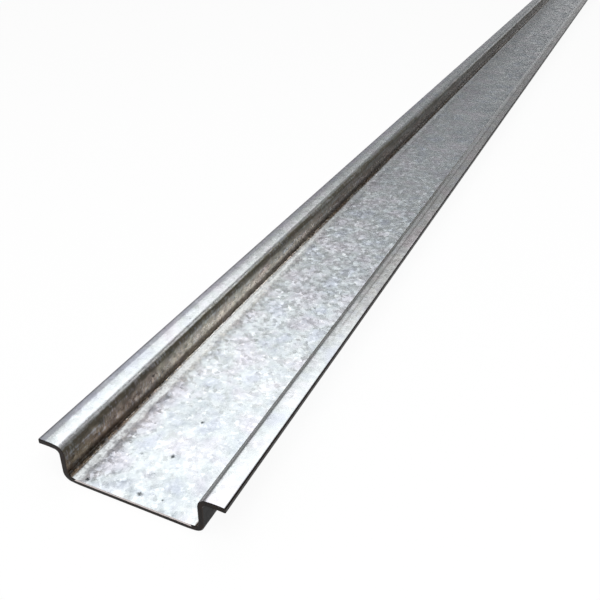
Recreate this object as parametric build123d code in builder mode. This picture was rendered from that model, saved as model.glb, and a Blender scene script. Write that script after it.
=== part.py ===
from build123d import *
import os

# Plain top-hat mounting rail, 35 mm wide and 7.5 mm high: one strip of galvanised steel,
# slit to width, roll-formed to a channel with two flanges, and cut to length. It has no slots.
# X runs along the rail, Y runs across it, and Z points up, out of the open channel.
# The origin is the middle of the back, the flat face that lies on the mounting plate.
# All lengths are in millimetres.

# Length and section
rail_length = 1000.0
rail_width = 35.0  # over the edges of both flanges
rail_height = 7.5  # from the back to the faces of the flanges
channel_width = 27.0  # over the outer faces of both webs
strip_thickness = 1.0
bend_radius = 0.8  # on the inner side of each of the four bends

# Edges
slit_edge_radius = 0.2  # the strip's long edges, rounded by slitting and rolling
end_break = 0.12  # small bevel left round both cut ends by deburring

# The strip's middle line runs half a thickness inside each outer size.
half_thickness = strip_thickness / 2
flange_edge = rail_width / 2
web_line = channel_width / 2 - half_thickness
back_line = half_thickness
flange_line = rail_height - half_thickness

with BuildPart() as rail:
    # The section is a line with four bends, given the strip's thickness.
    with BuildSketch(Plane.YZ):
        with BuildLine():
            FilletPolyline(
                (-flange_edge, flange_line),
                (-web_line, flange_line),
                (-web_line, back_line),
                (web_line, back_line),
                (web_line, flange_line),
                (flange_edge, flange_line),
                radius=bend_radius + half_thickness,
            )
        trace(line_width=strip_thickness)
    extrude(amount=rail_length / 2, both=True)

    # Both long edges of the strip are rounded, on its upper and lower side.
    flange_sides = rail.faces().filter_by(Axis.Y).group_by(Axis.Y)
    slit_sides = flange_sides[0] + flange_sides[-1]
    fillet(slit_sides.edges().filter_by(Axis.X), slit_edge_radius)

    # Both cut ends are deburred all round.
    cut_ends = rail.faces().filter_by(Axis.X)
    chamfer(cut_ends.edges(), end_break)

rail.part.label = "rail"

os.makedirs("parts", exist_ok=True)
export_step(rail.part, "parts/rail.step")
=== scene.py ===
import math

import bpy
from mathutils import Matrix, Vector


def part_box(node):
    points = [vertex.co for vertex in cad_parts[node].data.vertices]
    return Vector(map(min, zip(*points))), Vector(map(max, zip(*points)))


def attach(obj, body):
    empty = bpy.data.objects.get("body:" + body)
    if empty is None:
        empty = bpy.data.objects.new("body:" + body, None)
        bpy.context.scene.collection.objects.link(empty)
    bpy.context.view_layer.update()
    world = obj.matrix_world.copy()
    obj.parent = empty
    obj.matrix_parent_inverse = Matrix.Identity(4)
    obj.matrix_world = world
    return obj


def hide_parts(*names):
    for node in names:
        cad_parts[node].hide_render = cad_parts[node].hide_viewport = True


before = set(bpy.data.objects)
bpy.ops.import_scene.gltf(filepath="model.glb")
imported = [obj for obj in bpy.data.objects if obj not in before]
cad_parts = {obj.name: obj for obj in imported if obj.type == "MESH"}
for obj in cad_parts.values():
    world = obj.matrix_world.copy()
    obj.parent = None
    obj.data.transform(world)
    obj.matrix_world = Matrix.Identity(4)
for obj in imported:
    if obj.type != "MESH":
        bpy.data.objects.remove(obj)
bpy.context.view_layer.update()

# The rail is one strip of hot-dip galvanised steel, slit to width, roll-formed to a top-hat
# section and cut to length. The strip keeps its thickness round all four bends. The rolls round
# its long edges, and deburring leaves a small bevel round both cut ends.
STRIP = 0.001  # metres, as all sizes here
CHANNEL = 0.027  # over the outer faces of both webs
BEND_INSIDE = 0.0008
SLIT_EDGE = 0.0002  # rounding of the strip's long edges
END_BREAK = 0.00012  # bevel of the cut ends

low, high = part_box("rail")
rail_length = high.x - low.x
half_width = high.y
rail_height = high.z
web_outside = CHANNEL / 2
web_inside = web_outside - STRIP
bend_outside = BEND_INSIDE + STRIP

# The rolls leave each flange a little crowned: it rises from the web's bend to a crest and falls
# from there to its edge, by slopes too small to measure but seen in the way it shines.
CREST = 0.0158  # from the rail's middle
CREST_RADIUS = 0.018
RISE = 0.08  # slope from the web's bend to the crest
FALL = 0.07  # and from the crest to the edge

crest_height = rail_height + CREST_RADIUS * (RISE + FALL) ** 2 / 8  # before it is rounded

# In the same way the channel floor turns up a little before it meets the webs.
TURN = 0.0106  # from the rail's middle
TURN_RADIUS = 0.012
TURN_RISE = 0.1


def flange_top(y):
    """The height of a flange's upper face, this far from the rail's middle."""
    return crest_height - (RISE * (CREST - y) if y < CREST else FALL * (y - CREST))


def floor_top(y):
    """The height of the channel floor's turned-up edge, this far from the rail's middle."""
    return STRIP + TURN_RISE * (y - TURN)


# The section's corners for the half at +Y, from the back outwards and home over the channel
# floor, each with the radius of its bend or edge.
half_section = [
    (TURN, 0, TURN_RADIUS + STRIP),
    (web_outside, floor_top(web_outside) - STRIP, bend_outside),
    (web_outside, flange_top(web_outside) - STRIP, BEND_INSIDE),
    (CREST, crest_height - STRIP, CREST_RADIUS - STRIP),
    (half_width, flange_top(half_width) - STRIP, SLIT_EDGE),
    (half_width, flange_top(half_width), SLIT_EDGE),
    (CREST, crest_height, CREST_RADIUS),
    (web_inside, flange_top(web_inside), bend_outside),
    (web_inside, floor_top(web_inside), BEND_INSIDE),
    (TURN, STRIP, TURN_RADIUS),
]
other_half = [(-y, z, radius) for y, z, radius in reversed(half_section)]
# The outline starts and ends on the slit edge at -Y, so that its seam is there.
home = len(half_section) // 2
section = other_half[home:] + half_section + other_half[:home]


def linear(colour):
    """A hex sRGB colour as linear RGBA."""
    values = [int(colour[i : i + 2], 16) / 255 for i in (1, 3, 5)]
    return [v / 12.92 if v <= 0.04045 else ((v + 0.055) / 1.055) ** 2.4 for v in values] + [1]


def add_node(tree, kind, inputs=(), **settings):
    """Adds a node with its settings. An input is a value, an output, or a node's first output."""
    node = tree.nodes.new(kind)
    for name, value in settings.items():
        setattr(node, name, value)
    sockets = [socket for socket in node.inputs if socket.enabled]
    for key, value in inputs.items() if isinstance(inputs, dict) else enumerate(inputs):
        socket = next(s for i, s in enumerate(sockets) if key in (i, s.name))
        if isinstance(value, bpy.types.Node):
            value = next(s for s in value.outputs if s.enabled)
        if isinstance(value, bpy.types.NodeSocket):
            tree.links.new(value, socket)
        else:
            socket.default_value = value
    return node


def new_material(name):
    """An empty node material, and its tree."""
    material = bpy.data.materials.new(name)
    material.use_nodes = True
    material.node_tree.nodes.clear()
    return material, material.node_tree


# Hot-dip zinc: a pale metal that froze into small flat crystals with feathery edges, in patches
# that froze alike. Each crystal lies a little tilted and is a little paler or duller than the
# next, and their tint drifts from bluish to greenish and lilac.
SPANGLE = 0.0009  # across a crystal
FEATHER = 0.0006  # how far the edge of a crystal wanders
PATCH = 0.0020  # across a patch that froze alike
FLECK = 0.0007  # across the few crystals that shine most
FLECKS_FROM = 0.86  # share of the crystals that don't shine so
FLECKS_FULL = 0.92  # and share of those that don't shine fully
FLECK_SHINE = 0.3
GRAIN = 0.0004  # across the grain, which is finer on real zinc and wouldn't show
CLOUD = 0.012  # across a paler or darker cloud
DRIFT = 0.007  # across a stretch of one tint
CRYSTAL_TILT = 0.05  # slope of the most tilted crystals
PATCH_TILT = 0.11
GRAIN_HEIGHT = 0.000012
ZINC_DARK = "#a0a6ae"
ZINC_PALE = "#eaebed"

zinc, tree = new_material("hot_dip_zinc")
place = add_node(tree, "ShaderNodeTexCoord").outputs["Object"]
wander = add_node(
    tree,
    "ShaderNodeTexNoise",
    {"Vector": place, "Scale": 1 / SPANGLE, "Detail": 3.0, "Roughness": 0.6},
)
bent_place = add_node(
    tree,
    "ShaderNodeVectorMath",
    [wander.outputs["Color"], (FEATHER * 2,) * 3, place],
    operation="MULTIPLY_ADD",
)
crystals = add_node(tree, "ShaderNodeTexVoronoi", {"Vector": bent_place, "Scale": 1 / SPANGLE})
flecks = add_node(tree, "ShaderNodeTexVoronoi", {"Vector": bent_place, "Scale": 1 / FLECK})
patches = add_node(
    tree,
    "ShaderNodeTexNoise",
    {"Vector": place, "Scale": 1 / PATCH, "Detail": 4.0, "Roughness": 0.62, "Distortion": 0.4},
)
grain = add_node(tree, "ShaderNodeTexNoise", {"Vector": place, "Scale": 1 / GRAIN, "Detail": 2.0})
clouds = add_node(tree, "ShaderNodeTexNoise", {"Vector": place, "Scale": 1 / CLOUD, "Detail": 3.0})
of_crystal = add_node(tree, "ShaderNodeSeparateColor", [crystals.outputs["Color"]]).outputs
of_fleck = add_node(tree, "ShaderNodeSeparateColor", [flecks.outputs["Color"]]).outputs
shining = add_node(
    tree,
    "ShaderNodeMapRange",
    {
        "Value": of_fleck["Red"],
        "From Min": FLECKS_FROM,
        "From Max": FLECKS_FULL,
        "To Max": FLECK_SHINE,
    },
)

# How pale it is, from 0 to 1. Each of these averages a half, and so does their weighted sum.
paleness = ((of_crystal["Red"], 0.16), (patches, 1.1), (grain, 0.5), (clouds, 0.7))
centred = 0.5 - sum(weight for noise, weight in paleness) / 2
pale = add_node(tree, "ShaderNodeMath", [shining, centred])
for noise, weight in paleness:
    pale = add_node(tree, "ShaderNodeMath", [noise, weight, pale], operation="MULTIPLY_ADD")
crystalline = add_node(
    tree,
    "ShaderNodeMix",
    {"Factor": pale, "A": linear(ZINC_DARK), "B": linear(ZINC_PALE)},
    data_type="RGBA",
)

# The rolls have smoothed the flanges and their bends.
ZINC_ROLLED = "#d6d7d9"
SMOOTHED = 0.55  # how much of the crystals' pattern is gone there

spot = add_node(tree, "ShaderNodeSeparateXYZ", [place]).outputs
smoothed = add_node(
    tree,
    "ShaderNodeMapRange",
    {
        "Value": spot["Z"],
        "From Min": rail_height - STRIP,
        "From Max": rail_height - STRIP * 0.5,
        "To Max": SMOOTHED,
    },
)
metal = add_node(
    tree,
    "ShaderNodeMix",
    {"Factor": smoothed, "A": crystalline, "B": linear(ZINC_ROLLED)},
    data_type="RGBA",
)

# The drift of tint, on a ramp whose own first and last stops come out
tints = add_node(tree, "ShaderNodeTexNoise", {"Vector": place, "Scale": 1 / DRIFT, "Detail": 4.0})
drift = add_node(tree, "ShaderNodeValToRGB", [tints])
for stop, tint in zip((0.35, 0.46, 0.54, 0.65), ("#f2f6fc", "#f7fcfa", "#fbfcfd", "#fbf8fc")):
    drift.color_ramp.elements.new(stop).color = linear(tint)
drift.color_ramp.elements.remove(drift.color_ramp.elements[-1])
drift.color_ramp.elements.remove(drift.color_ramp.elements[0])
tinted = add_node(
    tree,
    "ShaderNodeMix",
    {"Factor": 1.0, "A": metal, "B": drift},
    data_type="RGBA",
    blend_type="MULTIPLY",
)

# Specks of dross sit in the zinc: a few near the rail's near end, and others here and there.
SPECK = "#5f6265"
SPECK_SPACING = 0.006  # of the scattered ones
SPECK_RADIUS = 0.0003
SPECK_STRENGTH = 0.6
near_specks = [  # along and across the rail, and the radius, in millimetres
    (-488.6, -0.4, 0.7),
    (-498.1, -0.3, 0.7),
    (-497.6, -4.4, 0.3),
    (-478.9, -0.5, 0.5),
    (-499.0, 9.3, 0.6),
]
scattered = add_node(tree, "ShaderNodeTexVoronoi", {"Vector": place, "Scale": 1 / SPECK_SPACING})
specks = add_node(
    tree,
    "ShaderNodeMapRange",
    {
        "Value": scattered.outputs["Distance"],
        "From Min": SPECK_RADIUS / SPECK_SPACING * 0.4,
        "From Max": SPECK_RADIUS / SPECK_SPACING,
        "To Min": SPECK_STRENGTH,
        "To Max": 0.0,
    },
)
for along, sideways, radius in near_specks:
    radius = radius / 1000
    middle = (along / 1000, sideways / 1000, STRIP)
    away = add_node(tree, "ShaderNodeVectorMath", [place, middle], operation="DISTANCE")
    speck_edge = add_node(
        tree, "ShaderNodeMath", [grain, radius, away.outputs["Value"]], operation="MULTIPLY_ADD"
    )
    speck = add_node(
        tree,
        "ShaderNodeMapRange",
        {
            "Value": speck_edge,
            "From Min": radius * 0.8,
            "From Max": radius * 1.4,
            "To Min": 1.0,
            "To Max": 0.0,
        },
    )
    specks = add_node(tree, "ShaderNodeMath", [specks, speck], operation="MAXIMUM")
specked = add_node(
    tree,
    "ShaderNodeMix",
    {"Factor": specks, "A": tinted, "B": linear(SPECK)},
    data_type="RGBA",
    blend_type="MULTIPLY",
)

# A film of rolling oil and dust lies on the inner faces of the webs: brown and streaked along the
# rail, and greener where it thins out round the bend to the flange. It is partly that film and
# partly painted shade: it darkens these faces more than the film would, and how high it reaches
# round the bend along the rail is painted shade too.
FILM_AND_SHADE_LOW = "#a38c74"
FILM_AND_SHADE_HIGH = "#948b78"
THIN_FILM_AND_SHADE = "#f6e2cc"
STREAK = 0.0006  # across a streak along the rail
STREAK_SLIMNESS = 0.04  # its width over its length
STROKE = 0.0005  # across a stroke up the web
STROKE_SLIMNESS = 0.35
NOISE_SPREAD = 0.25  # how far streaks and strokes together stray from 1
PATCHINESS = 0.6  # how much thicker or thinner than its mean the film gets

streak_place = add_node(
    tree, "ShaderNodeVectorMath", [place, (STREAK_SLIMNESS, 1, 1)], operation="MULTIPLY"
)
streaks = add_node(
    tree,
    "ShaderNodeTexNoise",
    {"Vector": streak_place, "Scale": 1 / STREAK, "Detail": 3.0},
)
stroke_place = add_node(
    tree, "ShaderNodeVectorMath", [place, (1, 1, STROKE_SLIMNESS)], operation="MULTIPLY"
)
strokes = add_node(
    tree,
    "ShaderNodeTexNoise",
    {"Vector": stroke_place, "Scale": 1 / STROKE, "Detail": 2.0},
)

# It begins on the bend to the floor. In one place near the end it is thinner and paler, and there
# it leaves more of that bend free.
FOOT_FROM = 0.00075  # how far from the web's face, across the rail, it begins
FOOT_FULL = 0.00015  # and is full
THIN_AT = -0.44  # along the rail
THIN_SPAN = 0.03  # to either side
THIN_FREE = 0.00036  # how much more of the bend is free there

from_thin = add_node(tree, "ShaderNodeMath", [spot["X"], THIN_AT], operation="SUBTRACT")
from_thin = add_node(tree, "ShaderNodeMath", [from_thin], operation="ABSOLUTE")
film_and_shade_thickness = add_node(
    tree,
    "ShaderNodeMapRange",
    {
        "Value": from_thin,
        "From Min": THIN_SPAN * 0.2,
        "From Max": THIN_SPAN * 2,
    },
    interpolation_type="SMOOTHSTEP",
)
off_middle = add_node(tree, "ShaderNodeMath", [spot["Y"]], operation="ABSOLUTE")
low_edge = add_node(
    tree, "ShaderNodeMath", [film_and_shade_thickness, THIN_FREE, off_middle], operation="MULTIPLY_ADD"
)
above = add_node(
    tree,
    "ShaderNodeMapRange",
    {"Value": low_edge, "From Min": web_inside - FOOT_FROM, "From Max": web_inside - FOOT_FULL},
    interpolation_type="SMOOTHSTEP",
)
on_top = add_node(tree, "ShaderNodeMath", [spot["Z"], STRIP * 0.9], operation="GREATER_THAN")
above = add_node(tree, "ShaderNodeMath", [above, on_top], operation="MULTIPLY")

# It thins out round the bend to the flange, and reaches highest a little beyond the thinner place.
THINS_FROM = STRIP * 0.72  # below the flange's face
GONE_AT = STRIP * 0.06  # above it, as the face is crowned
HIGHEST_AT = -0.395  # along the rail
HIGHEST = 0.03  # to either side
LOWEST = 0.19  # to either side, and as low from there on
SINKS = 0.0007  # by this much

from_highest = add_node(tree, "ShaderNodeMath", [spot["X"], HIGHEST_AT], operation="SUBTRACT")
from_highest = add_node(tree, "ShaderNodeMath", [from_highest], operation="ABSOLUTE")
sinking = add_node(
    tree,
    "ShaderNodeMapRange",
    {"Value": from_highest, "From Min": HIGHEST, "From Max": LOWEST, "To Max": SINKS},
)
high_edge = add_node(tree, "ShaderNodeMath", [spot["Z"], sinking])
below = add_node(
    tree,
    "ShaderNodeMapRange",
    {
        "Value": high_edge,
        "From Min": rail_height - THINS_FROM,
        "From Max": rail_height + GONE_AT,
        "To Min": 1.0,
        "To Max": 0.0,
    },
)

# The outer faces of the webs, under the flanges, have none of it.
outside = add_node(
    tree,
    "ShaderNodeMapRange",
    {
        "Value": off_middle,
        "From Min": web_outside - STRIP * 0.4,
        "From Max": web_outside - STRIP * 0.2,
    },
)
under = add_node(
    tree, "ShaderNodeMath", [spot["Z"], rail_height - STRIP * 0.8], operation="LESS_THAN"
)
outer_face = add_node(tree, "ShaderNodeMath", [outside, under], operation="MULTIPLY")
inner_face = add_node(tree, "ShaderNodeMath", [1.0, outer_face], operation="SUBTRACT")
on_web = add_node(tree, "ShaderNodeMath", [above, below], operation="MULTIPLY")
on_web = add_node(tree, "ShaderNodeMath", [on_web, inner_face], operation="MULTIPLY")

# Its colour changes up the web, and its thickness is uneven.
film_and_shade_height = add_node(
    tree,
    "ShaderNodeMapRange",
    {"Value": spot["Z"], "From Min": rail_height * 0.5, "From Max": rail_height * 0.9},
)
low_film_and_shade = add_node(
    tree,
    "ShaderNodeMix",
    {"Factor": film_and_shade_thickness, "A": linear(THIN_FILM_AND_SHADE), "B": linear(FILM_AND_SHADE_LOW)},
    data_type="RGBA",
)
film_and_shade = add_node(
    tree,
    "ShaderNodeMix",
    {"Factor": film_and_shade_height, "A": low_film_and_shade, "B": linear(FILM_AND_SHADE_HIGH)},
    data_type="RGBA",
)
uneven = add_node(tree, "ShaderNodeMath", [streaks, strokes])
patchy = add_node(
    tree,
    "ShaderNodeMapRange",
    {
        "Value": uneven,
        "From Min": 1 - NOISE_SPREAD,
        "From Max": 1 + NOISE_SPREAD,
        "To Min": 1 - PATCHINESS,
        "To Max": 1 + PATCHINESS,
    },
)
film_and_shade_cover = add_node(tree, "ShaderNodeMath", [on_web, patchy], operation="MULTIPLY")
filmed_and_shaded = add_node(
    tree,
    "ShaderNodeMix",
    {"Factor": film_and_shade_cover, "A": specked, "B": film_and_shade},
    data_type="RGBA",
    blend_type="MULTIPLY",
)

# Painted shade darkens the crease at the foot of each web.
CREASE_SHADE = "#8a8078"
CREASE_SHADE_TOP = 0.0033  # above the rail's back

into_crease = add_node(
    tree,
    "ShaderNodeMapRange",
    {"Value": spot["Z"], "From Min": STRIP * 1.3, "From Max": STRIP * 1.9},
    interpolation_type="SMOOTHSTEP",
)
out_of_crease = add_node(
    tree,
    "ShaderNodeMapRange",
    {
        "Value": spot["Z"],
        "From Min": CREASE_SHADE_TOP * 0.7,
        "From Max": CREASE_SHADE_TOP,
        "To Min": 1.0,
        "To Max": 0.0,
    },
    interpolation_type="SMOOTHSTEP",
)
crease_shade_mask = add_node(
    tree, "ShaderNodeMath", [into_crease, out_of_crease], operation="MULTIPLY"
)
crease_shade_mask = add_node(tree, "ShaderNodeMath", [crease_shade_mask, inner_face], operation="MULTIPLY")
crease_shaded = add_node(
    tree,
    "ShaderNodeMix",
    {"Factor": crease_shade_mask, "A": filmed_and_shaded, "B": linear(CREASE_SHADE)},
    data_type="RGBA",
    blend_type="MULTIPLY",
)

# Painted shade: near the rail's near end the outer faces of the webs are painted nearly black.
NEAR_END_SHADE = "#181615"
NEAR_END_SHADE_REACH = 0.02  # how far in from that end

near_end = add_node(
    tree,
    "ShaderNodeMapRange",
    {
        "Value": spot["X"],
        "From Min": low.x + NEAR_END_SHADE_REACH * 0.5,
        "From Max": low.x + NEAR_END_SHADE_REACH * 1.5,
        "To Min": 1.0,
        "To Max": 0.0,
    },
    interpolation_type="SMOOTHSTEP",
)
near_end_shade_mask = add_node(tree, "ShaderNodeMath", [outer_face, near_end], operation="MULTIPLY")
near_end_shaded = add_node(
    tree,
    "ShaderNodeMix",
    {"Factor": near_end_shade_mask, "A": crease_shaded, "B": linear(NEAR_END_SHADE)},
    data_type="RGBA",
    blend_type="MULTIPLY",
)

# A pale, partly matt line of painted highlight runs along the floor beside each web.
HIGHLIGHT_LINE = "#f7fcfe"
HIGHLIGHT_LINE_FROM = 0.0098  # from the rail's middle
HIGHLIGHT_LINE_EDGE = 0.0012  # how far its edge wanders
HIGHLIGHT_LINE_MATT = 0.8
HIGHLIGHT_LINE_FADES = (-0.45, -0.37)  # along the rail, between these
HIGHLIGHT_LINE_LEFT = 0.3  # share that is left of it from there on

highlight_line_edge = add_node(
    tree,
    "ShaderNodeMath",
    [of_crystal["Blue"], HIGHLIGHT_LINE_EDGE * 0.5, off_middle],
    operation="MULTIPLY_ADD",
)
highlight_line_edge = add_node(
    tree, "ShaderNodeMath", [patches, HIGHLIGHT_LINE_EDGE, highlight_line_edge], operation="MULTIPLY_ADD"
)
beside = add_node(
    tree,
    "ShaderNodeMapRange",
    {
        "Value": highlight_line_edge,
        "From Min": HIGHLIGHT_LINE_FROM + HIGHLIGHT_LINE_EDGE * 0.7,
        "From Max": HIGHLIGHT_LINE_FROM + HIGHLIGHT_LINE_EDGE * 1.9,
    },
    interpolation_type="SMOOTHSTEP",
)
free = add_node(tree, "ShaderNodeMath", [1.0, above], operation="SUBTRACT")
free = add_node(tree, "ShaderNodeMath", [free, on_top], operation="MULTIPLY")
fading = add_node(
    tree,
    "ShaderNodeMapRange",
    {
        "Value": spot["X"],
        "From Min": HIGHLIGHT_LINE_FADES[0],
        "From Max": HIGHLIGHT_LINE_FADES[1],
        "To Min": 1.0,
        "To Max": HIGHLIGHT_LINE_LEFT,
    },
)
highlight_line_mask = add_node(tree, "ShaderNodeMath", [beside, free], operation="MULTIPLY")
highlight_line_mask = add_node(tree, "ShaderNodeMath", [highlight_line_mask, fading], operation="MULTIPLY")
highlight_line_mask = add_node(
    tree, "ShaderNodeMath", [highlight_line_mask, patchy], operation="MULTIPLY", use_clamp=True
)
on_floor = add_node(tree, "ShaderNodeMath", [spot["Z"], STRIP * 2], operation="LESS_THAN")
highlight_line_mask = add_node(tree, "ShaderNodeMath", [highlight_line_mask, on_floor], operation="MULTIPLY")
highlighted = add_node(
    tree,
    "ShaderNodeMix",
    {"Factor": highlight_line_mask, "A": near_end_shaded, "B": linear(HIGHLIGHT_LINE)},
    data_type="RGBA",
)

# The outer part of the flange at +Y is darker and partly matt, as painted shade. Its outermost
# half millimetre is darker still.
FLANGE_SHADE = "#c9c7cd"
FLANGE_SHADE_MATT = 0.6
FLANGE_SHADE_FROM = 0.0160  # from the rail's middle
FLANGE_SHADE_EDGE = 0.0004  # how far that line wanders, and how soft it is
EDGE_DARKER = "#b4b2b6"
EDGE_DARKER_FROM = 0.0006  # from the flange's edge
EDGE_DARKER_FULL = 0.0002

flange_shade_edge = add_node(
    tree, "ShaderNodeMath", [streaks, FLANGE_SHADE_EDGE, spot["Y"]], operation="MULTIPLY_ADD"
)
flange_shade_mask = add_node(
    tree,
    "ShaderNodeMapRange",
    {"Value": flange_shade_edge, "From Min": FLANGE_SHADE_FROM, "From Max": FLANGE_SHADE_FROM + FLANGE_SHADE_EDGE},
    interpolation_type="SMOOTHSTEP",
)
flange_shaded = add_node(
    tree,
    "ShaderNodeMix",
    {"Factor": flange_shade_mask, "A": highlighted, "B": linear(FLANGE_SHADE)},
    data_type="RGBA",
    blend_type="MULTIPLY",
)
edge_darker_mask = add_node(
    tree,
    "ShaderNodeMapRange",
    {"Value": spot["Y"], "From Min": half_width - EDGE_DARKER_FROM, "From Max": half_width - EDGE_DARKER_FULL},
)
edge_darkened = add_node(
    tree,
    "ShaderNodeMix",
    {"Factor": edge_darker_mask, "A": flange_shaded, "B": linear(EDGE_DARKER)},
    data_type="RGBA",
    blend_type="MULTIPLY",
)

# Painted shade darkens the flange at -Y outwards from its roll mark and less so inwards, but for
# a short way at the near end.
MINUS_Y_SHADE = "#e8e3e0"
MINUS_Y_SHADE_INWARDS = 0.35  # share between the mark and the bend
MINUS_Y_SHADE_FROM = (-0.465, -0.425)  # along the rail, between these it comes in
MARK_AT = -0.0150  # where the roll mark is, across the rail
MARK_WIDTH = 0.00035

on_flange = add_node(
    tree,
    "ShaderNodeMapRange",
    {
        "Value": spot["Y"],
        "From Min": MARK_AT,
        "From Max": MARK_AT + MARK_WIDTH * 2,
        "To Min": 1.0,
        "To Max": MINUS_Y_SHADE_INWARDS,
    },
)
off_bend = add_node(
    tree, "ShaderNodeMath", [spot["Y"], MARK_AT + STRIP], operation="LESS_THAN"
)
on_flange = add_node(tree, "ShaderNodeMath", [on_flange, off_bend], operation="MULTIPLY")
onward = add_node(
    tree,
    "ShaderNodeMapRange",
    {"Value": spot["X"], "From Min": MINUS_Y_SHADE_FROM[0], "From Max": MINUS_Y_SHADE_FROM[1]},
    interpolation_type="SMOOTHSTEP",
)
minus_y_shade_mask = add_node(tree, "ShaderNodeMath", [on_flange, onward], operation="MULTIPLY")
minus_y_shade_mask = add_node(tree, "ShaderNodeMath", [minus_y_shade_mask, patchy], operation="MULTIPLY")
minus_y_shaded = add_node(
    tree,
    "ShaderNodeMix",
    {"Factor": minus_y_shade_mask, "A": edge_darkened, "B": linear(MINUS_Y_SHADE)},
    data_type="RGBA",
    blend_type="MULTIPLY",
)

# Painted shade: a thin black strip along the flange's top beside the slit edge at -Y.
DARK_MARKS_AND_SHADE = "#2b2828"
EDGE_SHADE_WIDTH = 0.0003

edge_shade_mask = add_node(
    tree,
    "ShaderNodeMapRange",
    {
        "Value": spot["Y"],
        "From Min": -half_width + EDGE_SHADE_WIDTH * 0.6,
        "From Max": -half_width + EDGE_SHADE_WIDTH * 1.2,
        "To Min": 1.0,
        "To Max": 0.0,
    },
)

# The rolls left thin dark marks along both flanges, and a thin line of painted shade runs along the
# bend at -Y.
roll_marks_and_shade = [  # where across the rail, how wide, how dark, and whether the near end has none
    (MARK_AT, MARK_WIDTH, 0.6, True),
    # painted shade along the bend at -Y, not a roll mark
    (-0.01362, 0.0005, 0.8, False),
    (0.0157, 0.0006, 0.3, True),
]

marks_and_shade = edge_shade_mask
for middle, width, strength, fades in roll_marks_and_shade:
    off_mark = add_node(tree, "ShaderNodeMath", [spot["Y"], middle], operation="SUBTRACT")
    off_mark = add_node(tree, "ShaderNodeMath", [off_mark], operation="ABSOLUTE")
    mark = add_node(
        tree,
        "ShaderNodeMapRange",
        {
            "Value": off_mark,
            "From Min": width * 0.3,
            "From Max": width * 0.8,
            "To Min": strength,
            "To Max": 0.0,
        },
        interpolation_type="SMOOTHSTEP",
    )
    mark = add_node(tree, "ShaderNodeMath", [mark, smoothed], operation="MULTIPLY")
    if fades:
        mark = add_node(tree, "ShaderNodeMath", [mark, onward], operation="MULTIPLY")
    marks_and_shade = add_node(tree, "ShaderNodeMath", [marks_and_shade, mark], operation="MAXIMUM")
surface = add_node(
    tree,
    "ShaderNodeMix",
    {"Factor": marks_and_shade, "A": minus_y_shaded, "B": linear(DARK_MARKS_AND_SHADE)},
    data_type="RGBA",
)

# Weathered zinc is partly matt, but under the oily film and painted shade it shines as a plain
# metal.
MATT_SHARE = 0.3

plain_shine = add_node(
    tree,
    "ShaderNodeMapRange",
    {"Value": on_web, "To Min": 1.0 - MATT_SHARE, "To Max": 1.0},
)
highlight_line_shine = add_node(
    tree,
    "ShaderNodeMath",
    [highlight_line_mask, MATT_SHARE - HIGHLIGHT_LINE_MATT, plain_shine],
    operation="MULTIPLY_ADD",
)
shine = add_node(
    tree,
    "ShaderNodeMath",
    [flange_shade_mask, MATT_SHARE - FLANGE_SHADE_MATT, highlight_line_shine],
    operation="MULTIPLY_ADD",
)
shine = add_node(
    tree, "ShaderNodeMath", [shine, near_end_shade_mask], operation="SUBTRACT", use_clamp=True
)

# Crystals are brighter or duller, and duller still under dust and where the outer faces near the
# near end are painted black as shade.
BRIGHTEST = 0.22  # roughness
DULLEST = 0.29
DUST_DULLS = 0.15  # added to it
NEAR_END_SHADE_DULLS = 0.5

dull = add_node(
    tree,
    "ShaderNodeMapRange",
    {"Value": of_crystal["Green"], "To Min": BRIGHTEST, "To Max": DULLEST},
)
dusty = add_node(tree, "ShaderNodeMath", [film_and_shade_height, on_web], operation="MULTIPLY")
dull = add_node(tree, "ShaderNodeMath", [dusty, DUST_DULLS, dull], operation="MULTIPLY_ADD")
dull = add_node(tree, "ShaderNodeMath", [near_end_shade_mask, NEAR_END_SHADE_DULLS, dull], operation="MULTIPLY_ADD")

# The tilt of each crystal and patch, and the grain on them
facing = add_node(tree, "ShaderNodeNewGeometry").outputs["Normal"]
tilt = facing
for lean, slope in ((crystals, CRYSTAL_TILT), (patches, PATCH_TILT)):
    tilt = add_node(
        tree,
        "ShaderNodeVectorMath",
        [lean.outputs["Color"], (slope * 2,) * 3, tilt],
        operation="MULTIPLY_ADD",
    )
levelled = add_node(
    tree,
    "ShaderNodeVectorMath",
    [tilt, (CRYSTAL_TILT + PATCH_TILT,) * 3],
    operation="SUBTRACT",
)
flatter = add_node(
    tree,
    "ShaderNodeMix",
    {"Factor": smoothed, "A": levelled, "B": facing},
    data_type="VECTOR",
)
tilted = add_node(tree, "ShaderNodeVectorMath", [flatter], operation="NORMALIZE")
rough = add_node(
    tree,
    "ShaderNodeBump",
    {"Height": grain, "Distance": GRAIN_HEIGHT, "Normal": tilted},
)
shader = add_node(
    tree,
    "ShaderNodeBsdfPrincipled",
    {
        "Base Color": surface,
        "Metallic": shine,
        "Roughness": dull,
        "Normal": rough,
    },
)
add_node(tree, "ShaderNodeOutputMaterial", {"Surface": shader})

# Sheared steel: the bare metal of the cut ends and slit edges, torn by the blade, blackened by
# oxide and by painted shade, and spotted with rust. The blade burnished the top of the cut across
# the channel floor.
OXIDE_AND_SHADE = "#1f1c1b"
RUST = "#352a24"
BURNISHED = "#e6dcda"
BURNISH_DEPTH = 0.0002  # how far down from the floor's face
BURNISH_WANDER = 0.0002  # how far its lower edge wanders
BURNISH_REACH = TURN + 0.0006  # from the rail's middle
RUST_SPOT = 0.0008  # across a spot
RUST_ROUGHNESS = 0.6
BARE_ROUGHNESS = 0.4
TEAR = 0.00015  # across a tear line
TEAR_SLIMNESS = 0.15  # its width over its length
TEAR_DEPTH = 0.00001

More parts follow.
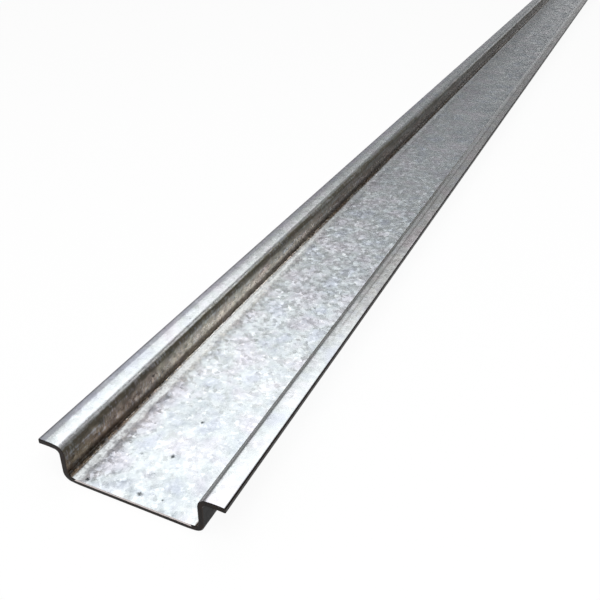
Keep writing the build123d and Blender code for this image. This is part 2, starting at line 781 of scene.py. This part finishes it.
cut_steel, tree = new_material("sheared_steel")
place = add_node(tree, "ShaderNodeTexCoord").outputs["Object"]
rusting = add_node(
    tree, "ShaderNodeTexNoise", {"Vector": place, "Scale": 1 / RUST_SPOT, "Detail": 4.0}
)
rusty = add_node(
    tree, "ShaderNodeMapRange", {"Value": rusting, "From Min": 0.45, "From Max": 0.7}
)
bare = add_node(
    tree,
    "ShaderNodeMix",
    {"Factor": rusty, "A": linear(OXIDE_AND_SHADE), "B": linear(RUST)},
    data_type="RGBA",
)
spot = add_node(tree, "ShaderNodeSeparateXYZ", [place]).outputs
depth = add_node(
    tree, "ShaderNodeMath", [rusting, BURNISH_WANDER, spot["Z"]], operation="MULTIPLY_ADD"
)
low_down = add_node(tree, "ShaderNodeMath", [spot["Z"], STRIP * 1.1], operation="LESS_THAN")
near_top = add_node(
    tree,
    "ShaderNodeMapRange",
    {
        "Value": depth,
        "From Min": STRIP + BURNISH_WANDER / 2 - BURNISH_DEPTH * 1.2,
        "From Max": STRIP + BURNISH_WANDER / 2 - BURNISH_DEPTH * 0.8,
    },
)
burnished = add_node(tree, "ShaderNodeMath", [low_down, near_top], operation="MULTIPLY")
off_middle = add_node(tree, "ShaderNodeMath", [spot["Y"]], operation="ABSOLUTE")
off_webs = add_node(tree, "ShaderNodeMath", [off_middle, BURNISH_REACH], operation="LESS_THAN")
burnished = add_node(tree, "ShaderNodeMath", [burnished, off_webs], operation="MULTIPLY")
steel = add_node(
    tree,
    "ShaderNodeMix",
    {"Factor": burnished, "A": bare, "B": linear(BURNISHED)},
    data_type="RGBA",
)
tear_place = add_node(
    tree, "ShaderNodeVectorMath", [place, (1, 1, TEAR_SLIMNESS)], operation="MULTIPLY"
)
tears = add_node(
    tree, "ShaderNodeTexNoise", {"Vector": tear_place, "Scale": 1 / TEAR, "Detail": 2.0}
)
torn = add_node(tree, "ShaderNodeBump", {"Height": tears, "Distance": TEAR_DEPTH})
matt = add_node(
    tree,
    "ShaderNodeMapRange",
    {"Value": rusty, "To Min": BARE_ROUGHNESS, "To Max": RUST_ROUGHNESS},
)
shader = add_node(
    tree,
    "ShaderNodeBsdfPrincipled",
    {"Base Color": steel, "Metallic": 1.0, "Roughness": matt, "Normal": torn},
)
add_node(tree, "ShaderNodeOutputMaterial", {"Surface": shader})

# Deburred steel: the narrow bevel round the cut ends, bright bare metal along the channel floor
# and darkened elsewhere by painted shade.
ARRIS = "#f0e6e4"
ARRIS_SHADE = "#3a3533"
ARRIS_REACH = TURN + 0.0009  # from the rail's middle
ARRIS_WANDER = 0.0008  # how far that end wanders
WHEEL_MARK = 0.0003  # across a mark of the deburring wheel

bright_steel, tree = new_material("deburred_steel")
place = add_node(tree, "ShaderNodeTexCoord").outputs["Object"]
spot = add_node(tree, "ShaderNodeSeparateXYZ", [place]).outputs
wheel_marks = add_node(
    tree, "ShaderNodeTexNoise", {"Vector": place, "Scale": 1 / WHEEL_MARK, "Detail": 2.0}
)
floor_arris = add_node(
    tree, "ShaderNodeMath", [spot["Z"], STRIP * 0.95, STRIP * 0.25], operation="COMPARE"
)
off_middle = add_node(tree, "ShaderNodeMath", [spot["Y"]], operation="ABSOLUTE")
arris_end = add_node(
    tree, "ShaderNodeMath", [wheel_marks, ARRIS_WANDER, off_middle], operation="MULTIPLY_ADD"
)
across_floor = add_node(tree, "ShaderNodeMath", [arris_end, ARRIS_REACH], operation="LESS_THAN")
across_floor = add_node(
    tree, "ShaderNodeMath", [floor_arris, across_floor], operation="MULTIPLY"
)
arris_shade_mask = add_node(tree, "ShaderNodeMath", [1.0, across_floor], operation="SUBTRACT")
arris = add_node(
    tree,
    "ShaderNodeMix",
    {"Factor": arris_shade_mask, "A": linear(ARRIS), "B": linear(ARRIS_SHADE)},
    data_type="RGBA",
)
scratched = add_node(
    tree, "ShaderNodeMapRange", {"Value": wheel_marks, "To Min": 0.25, "To Max": 0.5}
)
shader = add_node(
    tree,
    "ShaderNodeBsdfPrincipled",
    {"Base Color": arris, "Metallic": 1.0, "Roughness": scratched},
)
add_node(tree, "ShaderNodeOutputMaterial", {"Surface": shader})

# The rail is formed from its section's corners: each is bent to its radius, the flats between
# are divided, the outline is drawn out along X, and the cut faces are pushed out and drawn in
# all round for the bevel.
BEND_STEPS = 16  # points round each bend
SLIT_STEPS = 4  # points round each long edge
FLAT_STEP = 0.001  # spacing of the points across the flats
RINGS = 60  # steps along the rail
CRISP_FOLD = math.radians(30)  # a sharper fold than this shows as an edge
CUT_FACING = 0.9  # a face that points along X by more than this is a cut face

corners = bpy.data.meshes.new("rail_section")
corners.from_pydata(
    [(y, z, 0) for y, z, radius in section],
    [(i, (i + 1) % len(section)) for i in range(len(section))],
    [],
)
radii = [radius for y, z, radius in section]
corners.attributes.new("corner_radius", "FLOAT", "POINT").data.foreach_set("value", radii)
counts = [SLIT_STEPS if radius == SLIT_EDGE else BEND_STEPS for radius in radii]
corners.attributes.new("corner_steps", "INT", "POINT").data.foreach_set("value", counts)

forming = bpy.data.node_groups.new("roll_forming", "GeometryNodeTree")
for name, kind in (
    ("Section", "Geometry"),
    ("Length", "Float"),
    ("End Break", "Float"),
    ("Flat Step", "Float"),
    ("Rings", "Int"),
    ("Slit From", "Float"),
    ("Crisp Fold", "Float"),
    ("Coating", "Material"),
    ("Cut Face", "Material"),
    ("Bevel", "Material"),
):
    forming.interface.new_socket(name, in_out="INPUT", socket_type="NodeSocket" + kind)
forming.interface.new_socket("Rail", in_out="OUTPUT", socket_type="NodeSocketGeometry")
given = add_node(forming, "NodeGroupInput").outputs

# The outline, with its bends and with points across the flats
outline = add_node(forming, "GeometryNodeMeshToCurve", {"Mesh": given["Section"]})
kept_radius = add_node(
    forming, "GeometryNodeInputNamedAttribute", {"Name": "corner_radius"}, data_type="FLOAT"
)
kept_steps = add_node(
    forming, "GeometryNodeInputNamedAttribute", {"Name": "corner_steps"}, data_type="INT"
)
bent = add_node(
    forming,
    "GeometryNodeFilletCurve",
    {"Curve": outline, "Count": kept_steps, "Radius": kept_radius},
    mode="POLY",
)
place = add_node(forming, "GeometryNodeInputPosition")
following = add_node(forming, "GeometryNodeOffsetPointInCurve", {"Offset": 1})
next_place = add_node(
    forming,
    "GeometryNodeFieldAtIndex",
    {"Value": place, "Index": following.outputs["Point Index"]},
    data_type="FLOAT_VECTOR",
)
run = add_node(forming, "ShaderNodeVectorMath", [place, next_place], operation="DISTANCE")
cuts = add_node(forming, "ShaderNodeMath", [run, given["Flat Step"]], operation="DIVIDE")
divided = add_node(forming, "GeometryNodeSubdivideCurve", {"Curve": bent, "Cuts": cuts})

# Each point keeps its distance round the outline, and the direction that is outwards there.
round_outline = add_node(forming, "GeometryNodeSplineParameter").outputs["Length"]
with_across = add_node(
    forming,
    "GeometryNodeStoreNamedAttribute",
    {"Geometry": divided, "Name": "across", "Value": round_outline},
)
tangent = add_node(forming, "GeometryNodeInputTangent")
sideways = add_node(
    forming, "ShaderNodeVectorMath", [tangent, (0, 0, 1)], operation="CROSS_PRODUCT"
)
parts = add_node(forming, "ShaderNodeSeparateXYZ", [sideways]).outputs
outwards = add_node(forming, "ShaderNodeCombineXYZ", {"Y": parts["X"], "Z": parts["Y"]})
drawn = add_node(
    forming,
    "GeometryNodeStoreNamedAttribute",
    {"Geometry": with_across, "Name": "outwards", "Value": outwards},
    data_type="FLOAT_VECTOR",
)

# The outline is swept along X, short of both ends by the bevel.
half_length = add_node(forming, "ShaderNodeMath", [given["Length"], 0.5], operation="MULTIPLY")
far = add_node(forming, "ShaderNodeMath", [half_length, given["End Break"]], operation="SUBTRACT")
near = add_node(forming, "ShaderNodeMath", [far, -1.0], operation="MULTIPLY")
start = add_node(forming, "ShaderNodeCombineXYZ", {"X": near})
end = add_node(forming, "ShaderNodeCombineXYZ", {"X": far})
line = add_node(forming, "GeometryNodeCurvePrimitiveLine", {"Start": start, "End": end})
stations = add_node(forming, "ShaderNodeMath", [given["Rings"], 1.0])
path = add_node(forming, "GeometryNodeResampleCurve", {"Curve": line, "Count": stations})
upright = add_node(
    forming, "GeometryNodeSetCurveNormal", {"Curve": path, "Normal": (0, 1, 0)}, mode="FREE"
)
swept = add_node(
    forming,
    "GeometryNodeCurveToMesh",
    {"Curve": upright, "Profile Curve": drawn, "Fill Caps": True},
)

# The bevel: the cut faces are pushed out by it, then drawn in all round.
points_to = add_node(
    forming, "ShaderNodeSeparateXYZ", [add_node(forming, "GeometryNodeInputNormal")]
)
lengthwise = add_node(forming, "ShaderNodeMath", [points_to.outputs["X"]], operation="ABSOLUTE")
is_cut = add_node(forming, "ShaderNodeMath", [lengthwise, CUT_FACING], operation="GREATER_THAN")
pushed = add_node(
    forming,
    "GeometryNodeExtrudeMesh",
    {"Mesh": swept, "Selection": is_cut, "Offset Scale": given["End Break"]},
)
inset = add_node(forming, "ShaderNodeMath", [given["End Break"], -1.0], operation="MULTIPLY")
kept_outwards = add_node(
    forming,
    "GeometryNodeInputNamedAttribute",
    {"Name": "outwards"},
    data_type="FLOAT_VECTOR",
)
inwards = add_node(
    forming,
    "ShaderNodeVectorMath",
    {"Vector": kept_outwards, "Scale": inset},
    operation="SCALE",
)
bevelled = add_node(
    forming,
    "GeometryNodeSetPosition",
    {"Geometry": pushed, "Selection": pushed.outputs["Top"], "Offset": inwards},
)
tidied = bevelled
for name in ("outwards", "corner_radius", "corner_steps"):
    tidied = add_node(forming, "GeometryNodeRemoveAttribute", {"Geometry": tidied, "Name": name})

# Smooth round the bends, crisp round the cut ends
smooth = add_node(forming, "GeometryNodeSetShadeSmooth", {"Geometry": tidied})
fold = add_node(forming, "GeometryNodeInputMeshEdgeAngle")
is_fold = add_node(forming, "ShaderNodeMath", [fold, given["Crisp Fold"]], operation="GREATER_THAN")
crisp = add_node(
    forming,
    "GeometryNodeSetShadeSmooth",
    {"Geometry": smooth, "Selection": is_fold, "Shade Smooth": False},
    domain="EDGE",
)
realized = add_node(forming, "GeometryNodeRealizeInstances", {"Geometry": crisp})

# Zinc all over, bare steel on the slit edges and cut faces, bright steel on the bevel
coated = add_node(
    forming, "GeometryNodeSetMaterial", {"Geometry": realized, "Material": given["Coating"]}
)
at = add_node(forming, "ShaderNodeSeparateXYZ", [add_node(forming, "GeometryNodeInputPosition")])
sidewards = add_node(forming, "ShaderNodeMath", [at.outputs["Y"]], operation="ABSOLUTE")
is_slit = add_node(
    forming, "ShaderNodeMath", [sidewards, given["Slit From"]], operation="GREATER_THAN"
)
slit = add_node(
    forming,
    "GeometryNodeSetMaterial",
    {"Geometry": coated, "Selection": is_slit, "Material": given["Cut Face"]},
)
bright = add_node(
    forming,
    "GeometryNodeSetMaterial",
    {"Geometry": slit, "Selection": pushed.outputs["Side"], "Material": given["Bevel"]},
)
finished = add_node(
    forming,
    "GeometryNodeSetMaterial",
    {"Geometry": bright, "Selection": is_cut, "Material": given["Cut Face"]},
)
add_node(forming, "NodeGroupOutput", {"Rail": finished})

blank = bpy.data.objects.new("rail_blank", corners)
bpy.context.scene.collection.objects.link(blank)
modifier = blank.modifiers.new("roll_forming", "NODES")
modifier.node_group = forming
asked = {
    "Length": rail_length,
    "End Break": END_BREAK,
    "Flat Step": FLAT_STEP,
    "Rings": RINGS,
    "Slit From": half_width - SLIT_EDGE,
    "Crisp Fold": CRISP_FOLD,
    "Coating": zinc,
    "Cut Face": cut_steel,
    "Bevel": bright_steel,
}
for socket in forming.interface.items_tree:
    if socket.name in asked:
        modifier[socket.identifier] = asked[socket.name]
formed = blank.evaluated_get(bpy.context.evaluated_depsgraph_get())
rail = bpy.data.objects.new("din_rail", bpy.data.meshes.new_from_object(formed))
bpy.data.objects.remove(blank)
bpy.context.scene.collection.objects.link(rail)

# The rail's own map, for its surface in other programs: the unrolled strip in three lengths, one
# above the other, and both cut faces above them, enlarged.
MAP_LENGTHS = 3
MAP_GAP = 0.002  # metres of the map between its parts
MAP_MARGIN = 0.001  # share of the map's width that stays free on each side
CUT_FACE_SCALE = 3

across = rail.data.attributes["across"].data
girth = max(point.value for point in across) + STRIP - 2 * SLIT_EDGE
row = girth + MAP_GAP
map_width = rail_length / MAP_LENGTHS
map_height = MAP_LENGTHS * row + CUT_FACE_SCALE * rail_height + MAP_GAP
unrolled = rail.data.uv_layers.new(name="OFBake").data
for face in rail.data.polygons:
    lengths = min(int((face.center.x - low.x) / map_width), MAP_LENGTHS - 1)
    farthest = max(across[vertex].value for vertex in face.vertices)
    for corner, vertex in zip(face.loop_indices, face.vertices):
        x, y, z = rail.data.vertices[vertex].co
        if abs(face.normal.x) > CUT_FACING:
            u = (y - low.y + (face.center.x > 0) * 2 * half_width) * CUT_FACE_SCALE
            u += (face.center.x > 0) * MAP_GAP
            v = MAP_LENGTHS * row + z * CUT_FACE_SCALE
        else:
            u = x - low.x - lengths * map_width
            v = lengths * row + across[vertex].value
            if farthest - across[vertex].value > girth / 2:
                v += girth
        unrolled[corner].uv = (MAP_MARGIN + u / map_width * (1 - 2 * MAP_MARGIN), v / map_height)
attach(rail, "root")
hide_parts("rail")

# The rail lies on a plain pale floor, which is white to the camera and in reflections, and keeps a
# faint shadow of the rail.
FLOOR_SIZE = 60.0
FLOOR_GREY = "#f0f0f0"
FLOOR_WHITE = 0.92  # share of plain white that the camera sees
FLOOR_DROP = 0.00005  # below the rail's back

floor_paint, tree = new_material("pale_floor")
rays = add_node(tree, "ShaderNodeLightPath").outputs
seen = rays["Is Camera Ray"]
for ray in ("Is Glossy Ray", "Is Transmission Ray"):
    seen = add_node(tree, "ShaderNodeMath", [seen, rays[ray]], operation="MAXIMUM")
seen = add_node(tree, "ShaderNodeMath", [seen, FLOOR_WHITE], operation="MULTIPLY")
paint = add_node(tree, "ShaderNodeBsdfDiffuse", {"Color": linear(FLOOR_GREY)})
white = add_node(tree, "ShaderNodeEmission", {"Color": (1, 1, 1, 1), "Strength": 1.0})
both = add_node(tree, "ShaderNodeMixShader", [seen, paint, white])
add_node(tree, "ShaderNodeOutputMaterial", {"Surface": both})
reach = FLOOR_SIZE / 2
ends = ((-reach, -reach), (reach, -reach), (reach, reach), (-reach, reach))
sheet = bpy.data.meshes.new("floor")
sheet.from_pydata([(x, y, low.z - FLOOR_DROP) for x, y in ends], [], [range(len(ends))])
sheet.materials.append(floor_paint)
floor = bpy.data.objects.new("floor", sheet)
bpy.context.scene.collection.objects.link(floor)

# The studio is at a plain level on three sides. Beyond the rail's far end it is dim near the
# floor, brighter overhead, and darkest on the -Y side.
ROOM_LIGHT = 0.5
ROOM_FADES = (0.1, 0.45)  # between these shares of the direction that point along the rail
HORIZON_LIGHT = 0.03
OVERHEAD_RISE = 40.0  # how many times brighter straight up than at the horizon, before the limit
OVERHEAD_LIMIT = 0.6
SHADE = 0.15  # share of that light which comes from the dark side
SHADE_FADES = (-0.6, 0.5)  # and between these that point across it

world = bpy.data.worlds.new("studio")
bpy.context.scene.world = world
world.use_nodes = True
tree = world.node_tree
tree.nodes.clear()
toward = add_node(tree, "ShaderNodeTexCoord").outputs["Generated"]
toward = add_node(tree, "ShaderNodeSeparateXYZ", [toward]).outputs
rise = add_node(tree, "ShaderNodeMath", [OVERHEAD_RISE, toward["Z"]], operation="POWER")
overhead = add_node(tree, "ShaderNodeMath", [rise, HORIZON_LIGHT], operation="MULTIPLY")
limited = add_node(tree, "ShaderNodeMath", [overhead, OVERHEAD_LIMIT], operation="MINIMUM")
shaded = add_node(
    tree,
    "ShaderNodeMapRange",
    {
        "Value": toward["Y"],
        "From Min": SHADE_FADES[0],
        "From Max": SHADE_FADES[1],
        "To Min": SHADE,
    },
    interpolation_type="SMOOTHSTEP",
)
beyond_rail = add_node(tree, "ShaderNodeMath", [limited, shaded], operation="MULTIPLY")
around = add_node(
    tree,
    "ShaderNodeMapRange",
    {
        "Value": toward["X"],
        "From Min": ROOM_FADES[0],
        "From Max": ROOM_FADES[1],
        "To Min": ROOM_LIGHT,
        "To Max": 0.0,
    },
    interpolation_type="SMOOTHSTEP",
)
plain_light = add_node(tree, "ShaderNodeMath", [beyond_rail, around], operation="MAXIMUM")

# The white floor sweeps up behind the rail on all sides. It is seen and reflected, but adds no
# light.
SWEEP_HEIGHT = 0.10  # sine of its angle above the horizon
SWEEP_TOP = 0.17  # and where it has faded out

rays = add_node(tree, "ShaderNodeLightPath").outputs
seen = rays["Is Camera Ray"]
for ray in ("Is Glossy Ray", "Is Transmission Ray"):
    seen = add_node(tree, "ShaderNodeMath", [seen, rays[ray]], operation="MAXIMUM")
sweep = add_node(
    tree,
    "ShaderNodeMapRange",
    {
        "Value": toward["Z"],
        "From Min": SWEEP_HEIGHT,
        "From Max": SWEEP_TOP,
        "To Min": FLOOR_WHITE,
        "To Max": 0.0,
    },
    interpolation_type="SMOOTHSTEP",
)
seen_sweep = add_node(tree, "ShaderNodeMath", [sweep, seen], operation="MULTIPLY")
studio_light = add_node(tree, "ShaderNodeMath", [plain_light, seen_sweep], operation="MAXIMUM")
sky = add_node(tree, "ShaderNodeBackground", {"Color": (1, 1, 1, 1), "Strength": studio_light})
add_node(tree, "ShaderNodeOutputWorld", {"Surface": sky})

# Two soft boxes stand beyond the rail: a wide one high up, whose reflection fades along the
# channel floor, and a small one lower on the right, which the inner faces of the webs catch. A
# third stands close above the near end, beside the camera, and lights the matt share of the zinc.
LAMP_AIM = Vector((-0.4, 0.0, 0.0))

# Each lamp's name, bearing from +X towards +Y, height and half its width and height, in degrees
# as seen from where it aims, its distance, and how bright its face is, where 1 is white.
lamps = [
    ("wide_soft_box", 24.0, 49.0, 19.0, 18.0, 8.0, 1.5),
    ("small_soft_box", -32.0, 34.0, 6.5, 5.0, 8.0, 4.5),
    ("near_soft_box", 209.0, 60.0, 24.0, 24.0, 0.46, 2.9),
]
for name, bearing, lift, half_wide, half_high, distance, level in lamps:
    bearing, lift = math.radians(bearing), math.radians(lift)
    away = Vector((math.cos(bearing), math.sin(bearing), math.tan(lift))).normalized()
    face = bpy.data.lights.new(name, "AREA")
    face.shape = "RECTANGLE"
    face.size = 2 * distance * math.tan(math.radians(half_wide))
    face.size_y = 2 * distance * math.tan(math.radians(half_high))
    face.energy = level * math.pi * face.size * face.size_y
    lamp = bpy.data.objects.new(name, face)
    turned = away.to_track_quat("Z", "Y").to_matrix().to_4x4()
    lamp.matrix_world = Matrix.Translation(LAMP_AIM + away * distance) @ turned
    bpy.context.scene.collection.objects.link(lamp)

# The camera stands where the photograph was taken from: above the near end, beside the rail's
# flange at -Y, looking along it.
CAMERA_PLACE = Vector((-0.56238, -0.05667, 0.0881))
CAMERA_AIM = Vector((-0.43089, 0.00193, 0.0))
CAMERA_ROLL = math.radians(0.931)  # the right side tilts up
CAMERA_LENS = 42.92  # millimetres, on a sensor 36 mm wide

camera_data = bpy.data.cameras.new("camera")
camera_data.sensor_width = 36
camera_data.lens = CAMERA_LENS
camera_data.clip_start = 0.005
camera_data.clip_end = 50
camera = bpy.data.objects.new("camera", camera_data)
level_view = (CAMERA_AIM - CAMERA_PLACE).to_track_quat("-Z", "Y").to_matrix().to_4x4()
roll = Matrix.Rotation(CAMERA_ROLL, 4, "Z")
camera.matrix_world = Matrix.Translation(CAMERA_PLACE) @ level_view @ roll
bpy.context.scene.collection.objects.link(camera)
bpy.context.scene.camera = camera
bpy.context.scene.view_settings.view_transform = "Standard"
